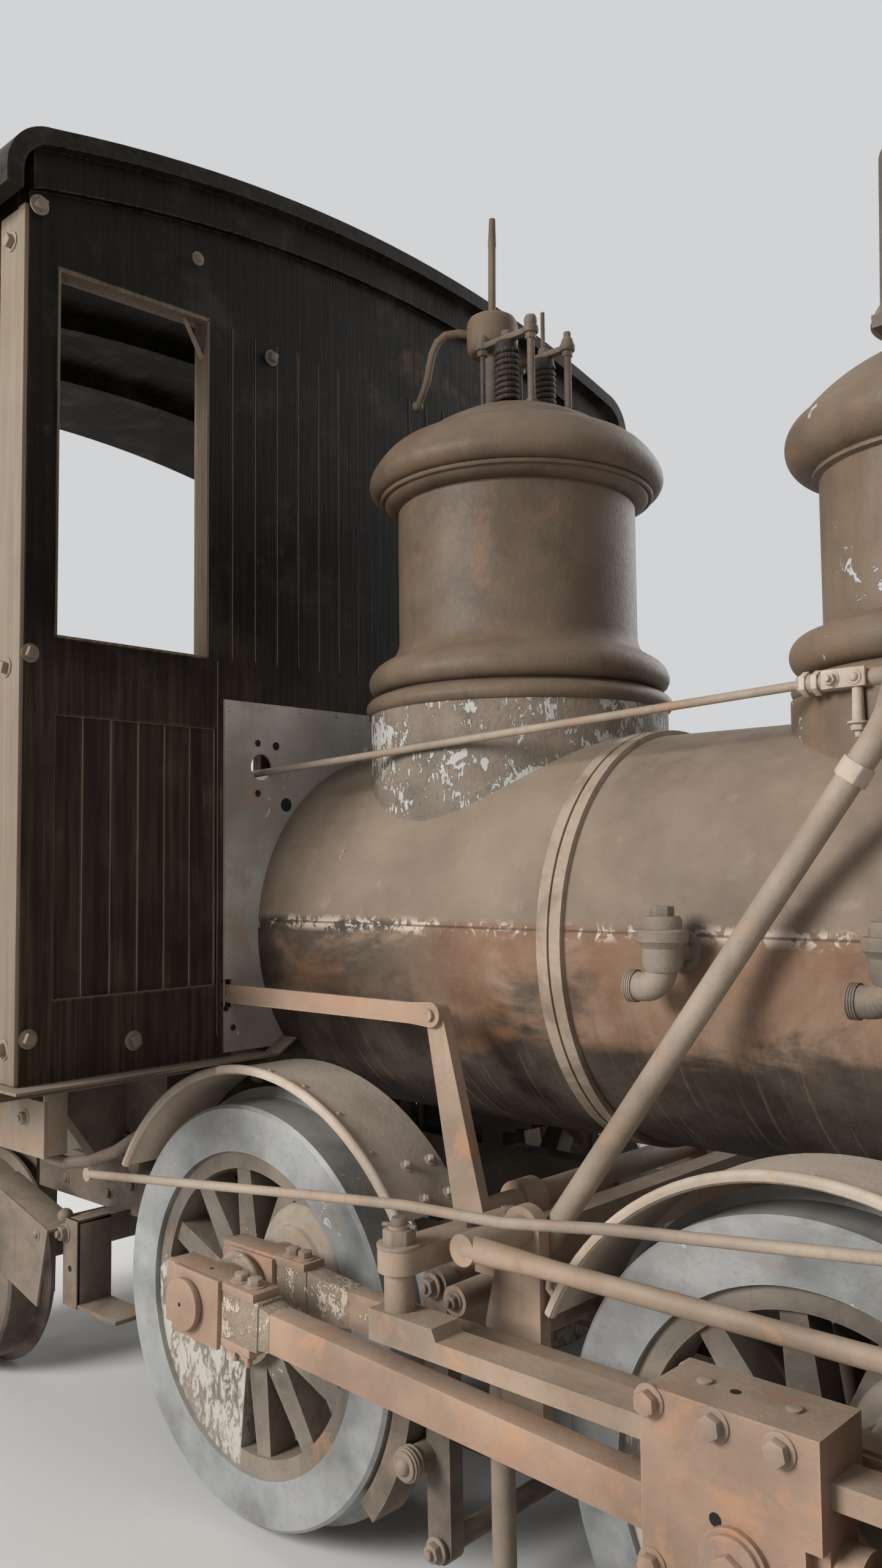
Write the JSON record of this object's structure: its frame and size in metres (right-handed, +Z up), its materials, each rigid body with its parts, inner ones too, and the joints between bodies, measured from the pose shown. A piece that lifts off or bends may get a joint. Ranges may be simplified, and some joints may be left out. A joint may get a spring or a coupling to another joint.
{
  "type": "steam locomotive",
  "caption": "Narrow-gauge steam locomotive with a wooden cab, domed boiler and outside cylinders, rods and crossheads.",
  "frame": {"origin": "bottom centre of the bounding box, level with the lowest point of the wheel flanges", "axes": "+X forward along the track, +Y to the left, +Z up"},
  "size_m": [5.4, 2.38, 3.36],
  "materials": {
    "dusty_iron": "old dark paint under brown dust",
    "rod_iron": "brown rust and dust",
    "tyre_steel": "worn bare steel",
    "frame_iron": "dark and dusty",
    "stained_wood": "nearly black stain",
    "grey_plate": "grey, rust at the edges",
    "flaked_paint": "flaking pale paint",
    "bronze": "dull"
  },
  "bodies": {
    "engine": {"bell_stand": "dusty_iron", "boiler_barrel": "dusty_iron", "brake_gear": "frame_iron", "cab_carriers": "frame_iron", "cab_floor": "stained_wood", "cab_front": "stained_wood", "cab_plate": "grey_plate", "cab_roof": "stained_wood", "cab_side_left": "stained_wood", "cab_side_right": "stained_wood", "check_valves": "dusty_iron", "chimney": "dusty_iron", "cock_rod": "rod_iron", "cylinder_left": "dusty_iron", "cylinder_right": "dusty_iron", "dome_saddle": "flaked_paint", "fenders_left": "dusty_iron", "fenders_right": "dusty_iron", "firebox": "dusty_iron", "frame_left": "frame_iron", "frame_right": "frame_iron", "front_beam": "stained_wood", "guide_bar_left": "rod_iron", "guide_bar_right": "rod_iron", "guide_yoke": "frame_iron", "headlight": "dusty_iron", "pilot": "dusty_iron", "reach_rod": "rod_iron", "reverse_shaft": "rod_iron", "safety_valves": "dusty_iron", "sand_dome": "dusty_iron", "sand_gear": "dusty_iron", "smokebox": "dusty_iron", "springs": "frame_iron", "steam_dome": "dusty_iron", "valve_rod_left": "rod_iron", "valve_rod_right": "rod_iron"},
    "rear_axle": {"rear_wheels": "frame_iron", "rear_tyre_right": "tyre_steel", "rear_tyre_left": "tyre_steel"},
    "front_axle": {"front_wheels": "frame_iron", "front_tyre_right": "tyre_steel", "front_tyre_left": "tyre_steel"},
    "trailing_axle": {"trailing_wheels": "tyre_steel"},
    "side_rod_right": {"side_rod_right": "rod_iron"},
    "side_rod_left": {"side_rod_left": "rod_iron"},
    "crosshead_right": {"crosshead_right": "rod_iron", "main_rod_right": "rod_iron"},
    "crosshead_left": {"crosshead_left": "rod_iron", "main_rod_left": "rod_iron"},
    "smokebox_door": {"smokebox_door": "dusty_iron"},
    "fire_door": {"fire_door": "dusty_iron"},
    "bell": {"bell": "bronze"}
  },
  "joints": [
    {"name": "rear_axle_spin", "type": "hinge", "parent": "engine", "child": "rear_axle", "pos_m": [-0.65, 0, 0.508], "axis": [0, 1, 0], "continuous": true},
    {"name": "front_axle_spin", "type": "hinge", "parent": "engine", "child": "front_axle", "pos_m": [0.784, 0, 0.508], "axis": [0, 1, 0], "continuous": true},
    {"name": "trailing_axle_spin", "type": "hinge", "parent": "engine", "child": "trailing_axle", "pos_m": [-2.08, 0, 0.33], "axis": [0, 1, 0], "continuous": true},
    {"name": "side_rod_right_pin", "type": "hinge", "parent": "rear_axle", "child": "side_rod_right", "pos_m": [-0.458, -0.695, 0.652], "axis": [0, 1, 0], "continuous": true},
    {"name": "side_rod_left_pin", "type": "hinge", "parent": "rear_axle", "child": "side_rod_left", "pos_m": [-0.794, 0.695, 0.7], "axis": [0, 1, 0], "continuous": true},
    {"name": "crosshead_right_slide", "type": "slide", "parent": "engine", "child": "crosshead_right", "axis": [1, 0, 0], "range_m": [-0.4355, 0.0458]},
    {"name": "crosshead_left_slide", "type": "slide", "parent": "engine", "child": "crosshead_left", "axis": [1, 0, 0], "range_m": [-0.097, 0.3843]},
    {"name": "smokebox_door_hinge", "type": "hinge", "parent": "engine", "child": "smokebox_door", "pos_m": [1.922, 0.4, 1.396], "axis": [0, 0, 1], "range_deg": [0, 110]},
    {"name": "fire_door_hinge", "type": "hinge", "parent": "engine", "child": "fire_door", "pos_m": [-1.872, 0.165, 1.41], "axis": [0, 0, -1], "range_deg": [0, 110]},
    {"name": "bell_swing", "type": "hinge", "parent": "engine", "child": "bell", "pos_m": [0.85, 0, 2.89523], "axis": [0, 1, 0], "range_deg": [-45, 45]}
  ],
  "couplings": [
    {"joint": "front_axle_spin", "follows": "rear_axle_spin", "ratio": 1},
    {"joint": "side_rod_right_pin", "follows": "rear_axle_spin", "ratio": -1},
    {"joint": "side_rod_left_pin", "follows": "rear_axle_spin", "ratio": -1}
  ]
}
